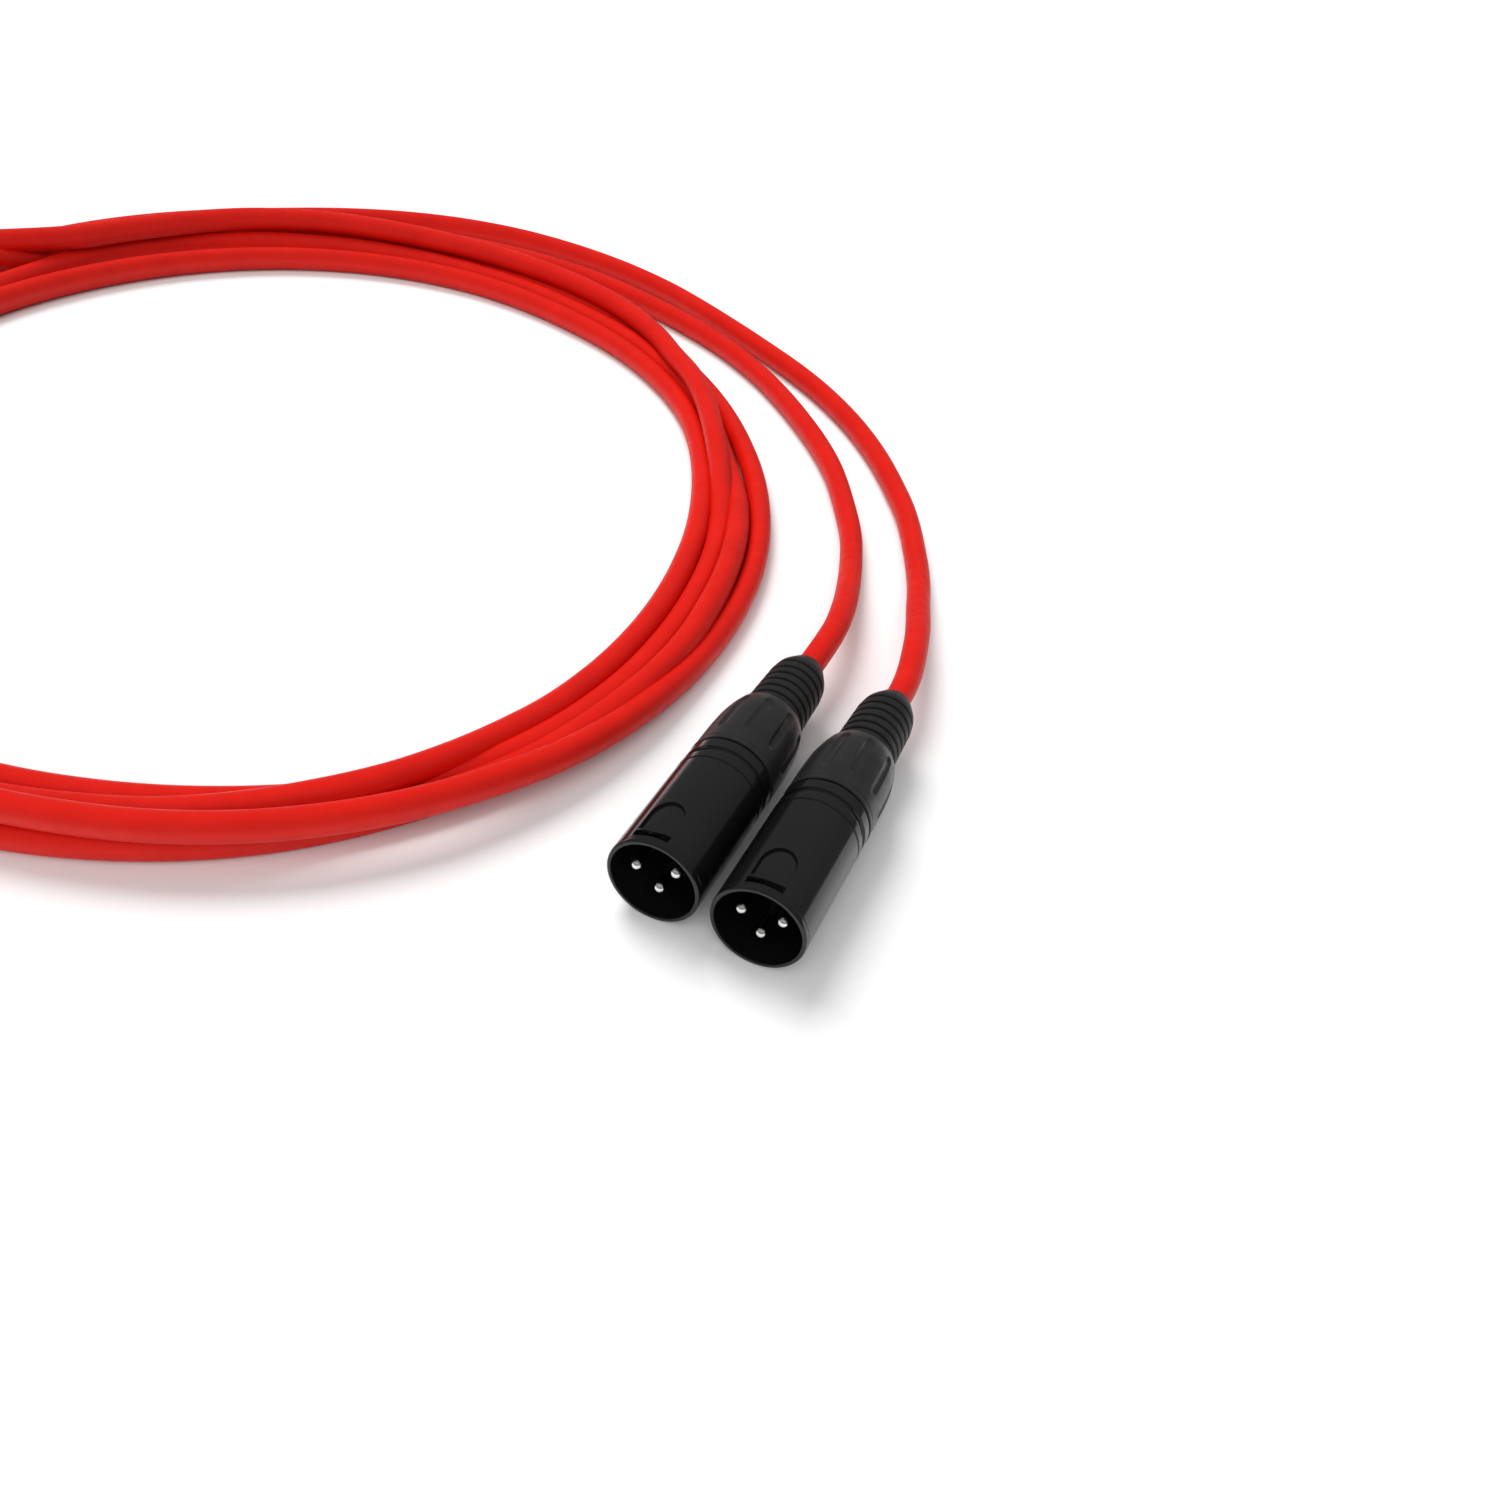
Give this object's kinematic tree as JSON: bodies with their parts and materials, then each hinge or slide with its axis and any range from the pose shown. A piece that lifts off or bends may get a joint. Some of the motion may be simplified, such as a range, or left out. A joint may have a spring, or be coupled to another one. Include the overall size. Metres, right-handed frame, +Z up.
{
  "type": "coiled audio cable pair",
  "caption": "Pair of long round audio cables coiled together, with locking three-contact connectors: male on one end, female on the other.",
  "frame": {"origin": "on the floor, under the middle of the box round the four connectors", "axes": "+Z up; the connectors' axes lie along Y, with their front rims towards -Y and their cable exits towards +Y; the male pair is on the +X side and the female pair on the -X side"},
  "size_m": [0.3808, 0.3399, 0.0197],
  "materials": {
    "cable_jacket": "satin red PVC",
    "gloss_shell": "glossy black coating on die-cast metal",
    "bushing_plastic": "satin black",
    "sleeve_rubber": "matte black",
    "insert_plastic": "matte black",
    "latch_plastic": "semi-gloss black",
    "clamp_plastic": "matte grey",
    "contact_metal": "silver plated",
    "steel_parts": "plain"
  },
  "bodies": {
    "root": {"cord_coil": "cable_jacket", "cord_tail_a": "cable_jacket", "cord_tail_b": "cable_jacket", "cord_end_a": "cable_jacket", "cord_end_b": "cable_jacket", "male_a_housing": "gloss_shell", "male_a_insert": "insert_plastic", "male_a_pin_1": "contact_metal", "male_a_pin_2": "contact_metal", "male_a_pin_3": "contact_metal", "male_a_cable_clamp": "clamp_plastic", "male_a_ground_strip": "steel_parts", "male_b_housing": "gloss_shell", "male_b_insert": "insert_plastic", "male_b_pin_1": "contact_metal", "male_b_pin_2": "contact_metal", "male_b_pin_3": "contact_metal", "male_b_cable_clamp": "clamp_plastic", "male_b_ground_strip": "steel_parts", "female_a_housing": "gloss_shell", "female_a_insert": "insert_plastic", "female_a_socket_1": "contact_metal", "female_a_socket_2": "contact_metal", "female_a_socket_3": "contact_metal", "female_a_cable_clamp": "clamp_plastic", "female_a_ground_strip": "steel_parts", "female_a_latch_pivot": "steel_parts", "female_a_latch_spring": "steel_parts", "female_b_housing": "gloss_shell", "female_b_insert": "insert_plastic", "female_b_socket_1": "contact_metal", "female_b_socket_2": "contact_metal", "female_b_socket_3": "contact_metal", "female_b_cable_clamp": "clamp_plastic", "female_b_ground_strip": "steel_parts", "female_b_latch_pivot": "steel_parts", "female_b_latch_spring": "steel_parts"},
    "male_a_sleeve_body": {"male_a_kink_sleeve": "sleeve_rubber"},
    "male_a_bushing_body": {"male_a_bushing": "bushing_plastic"},
    "male_b_sleeve_body": {"male_b_kink_sleeve": "sleeve_rubber"},
    "male_b_bushing_body": {"male_b_bushing": "bushing_plastic"},
    "female_a_sleeve_body": {"female_a_kink_sleeve": "sleeve_rubber"},
    "female_a_bushing_body": {"female_a_bushing": "bushing_plastic"},
    "female_a_latch_body": {"female_a_latch": "latch_plastic"},
    "female_b_sleeve_body": {"female_b_kink_sleeve": "sleeve_rubber"},
    "female_b_bushing_body": {"female_b_bushing": "bushing_plastic"},
    "female_b_latch_body": {"female_b_latch": "latch_plastic"}
  },
  "joints": [
    {"name": "male_a_sleeve_slide", "type": "slide", "parent": "root", "child": "male_a_sleeve_body", "axis": [0, 1, 0], "range_m": [0, 0.00625]},
    {"name": "male_a_bushing_turn", "type": "hinge", "parent": "male_a_sleeve_body", "child": "male_a_bushing_body", "pos_m": [0.1599, 0.04, 0.00948], "axis": [0, 1, 0], "range_deg": [0, 1800]},
    {"name": "male_b_sleeve_slide", "type": "slide", "parent": "root", "child": "male_b_sleeve_body", "axis": [0, 1, 0], "range_m": [0, 0.00625]},
    {"name": "male_b_bushing_turn", "type": "hinge", "parent": "male_b_sleeve_body", "child": "male_b_bushing_body", "pos_m": [0.181, 0.04, 0.00948], "axis": [0, 1, 0], "range_deg": [0, 1800]},
    {"name": "female_a_sleeve_slide", "type": "slide", "parent": "root", "child": "female_a_sleeve_body", "axis": [0, 1, 0], "range_m": [0, 0.00625]},
    {"name": "female_a_bushing_turn", "type": "hinge", "parent": "female_a_sleeve_body", "child": "female_a_bushing_body", "pos_m": [-0.181, -0.03, 0.00948], "axis": [0, 1, 0], "range_deg": [0, 1800]},
    {"name": "female_a_latch_press", "type": "hinge", "parent": "root", "child": "female_a_latch_body", "pos_m": [-0.18001, -0.0487, 0.01701], "axis": [0.9914, 0, -0.1305], "range_deg": [0, 4], "stiffness_Nm_per_rad": 0.2},
    {"name": "female_b_sleeve_slide", "type": "slide", "parent": "root", "child": "female_b_sleeve_body", "axis": [0, 1, 0], "range_m": [0, 0.00625]},
    {"name": "female_b_bushing_turn", "type": "hinge", "parent": "female_b_sleeve_body", "child": "female_b_bushing_body", "pos_m": [-0.154, -0.03, 0.00948], "axis": [0, 1, 0], "range_deg": [0, 1800]},
    {"name": "female_b_latch_press", "type": "hinge", "parent": "root", "child": "female_b_latch_body", "pos_m": [-0.15347, -0.0487, 0.01706], "axis": [0.9976, 0, -0.0698], "range_deg": [0, 4], "stiffness_Nm_per_rad": 0.2}
  ],
  "couplings": [
    {"joint": "male_a_bushing_turn", "follows": "male_a_sleeve_slide", "rad_per_m": 5026.5},
    {"joint": "male_b_bushing_turn", "follows": "male_b_sleeve_slide", "rad_per_m": 5026.5},
    {"joint": "female_a_bushing_turn", "follows": "female_a_sleeve_slide", "rad_per_m": 5026.5},
    {"joint": "female_b_bushing_turn", "follows": "female_b_sleeve_slide", "rad_per_m": 5026.5}
  ]
}
